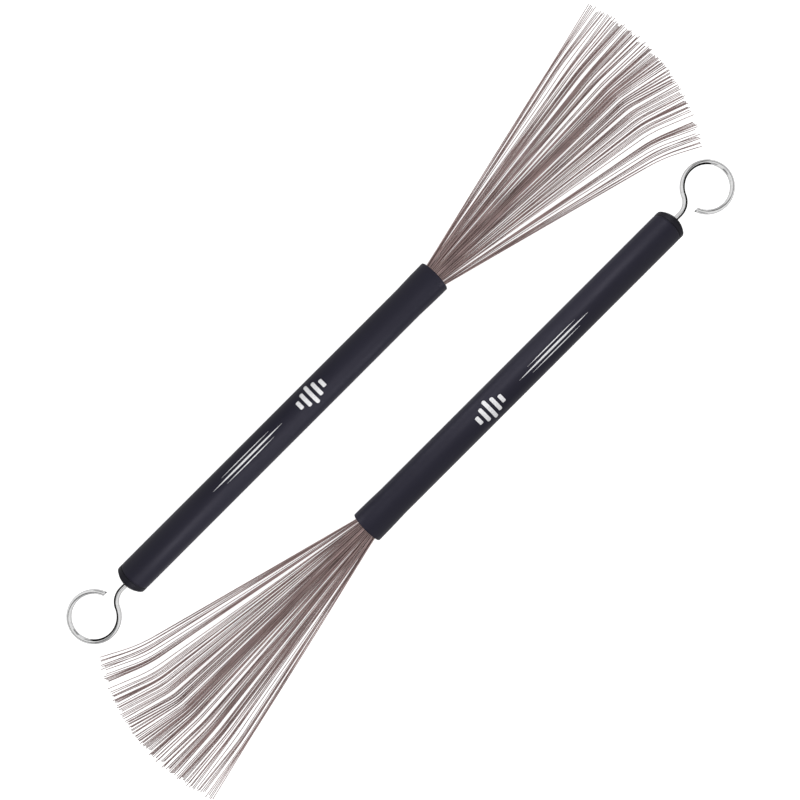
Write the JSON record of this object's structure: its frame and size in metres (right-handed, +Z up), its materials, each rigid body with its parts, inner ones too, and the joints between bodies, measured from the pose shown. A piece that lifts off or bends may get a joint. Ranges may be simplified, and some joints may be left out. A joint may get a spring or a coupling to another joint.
{
  "type": "retractable wire drum brushes",
  "caption": "Pair of retractable wire drum brushes lying head to tail: rubber-gripped tube handles, a pull rod with a ring at the back, and a flared fan of wires with bent tips.",
  "frame": {"origin": "bottom centre of the pair's bounding box, on the surface it lies on, midway between the two handles", "axes": "+X along the handles, from the ring of brush a towards its fan; +Y from brush b to brush a; +Z up from the surface"},
  "size_m": [0.3394, 0.1156, 0.0143],
  "materials": {
    "grip_rubber": "smooth satin",
    "cap_plastic": "moulded, semi-gloss",
    "tube_metal": "drawn",
    "rod_plating": "bright nickel plating",
    "wire_steel": "drawn spring wire",
    "brass": "turned",
    "seal_rubber": "matte",
    "slider_plastic": "natural nylon",
    "collar_steel": "zinc plated"
  },
  "bodies": {
    "handle_a": {"handle_tube_a": "tube_metal", "grip_sleeve_a": "grip_rubber", "end_cap_a": "cap_plastic", "rod_bush_a": "brass", "rod_grommet_a": "seal_rubber", "stop_ring_a": "tube_metal"},
    "carrier_a": {"slider_a": "slider_plastic"},
    "rod_a": {"pull_rod_a": "rod_plating", "rod_collar_a": "collar_steel", "wire_ferrule_a": "brass", "fan_wires_a": "wire_steel"},
    "handle_b": {"handle_tube_b": "tube_metal", "grip_sleeve_b": "grip_rubber", "end_cap_b": "cap_plastic", "rod_bush_b": "brass", "rod_grommet_b": "seal_rubber", "stop_ring_b": "tube_metal"},
    "carrier_b": {"slider_b": "slider_plastic"},
    "rod_b": {"pull_rod_b": "rod_plating", "rod_collar_b": "collar_steel", "wire_ferrule_b": "brass", "fan_wires_b": "wire_steel"}
  },
  "joints": [
    {"name": "pull_a", "type": "slide", "parent": "handle_a", "child": "carrier_a", "axis": [-1, 0, 0], "range_m": [0, 0.126], "deforming": ["fan_wires_a"]},
    {"name": "turn_a", "type": "hinge", "parent": "carrier_a", "child": "rod_a", "pos_m": [-0.1, 0.02595, 0.00715], "axis": [1, 0, 0], "continuous": true},
    {"name": "apart_b", "type": "slide", "parent": "handle_a", "child": "handle_b", "axis": [0, -1, 0], "range_m": [0, 0.08]},
    {"name": "pull_b", "type": "slide", "parent": "handle_b", "child": "carrier_b", "axis": [1, 0, 0], "range_m": [0, 0.126], "deforming": ["fan_wires_b"]},
    {"name": "turn_b", "type": "hinge", "parent": "carrier_b", "child": "rod_b", "pos_m": [0.1, -0.02595, 0.00715], "axis": [-1, 0, 0], "continuous": true}
  ]
}
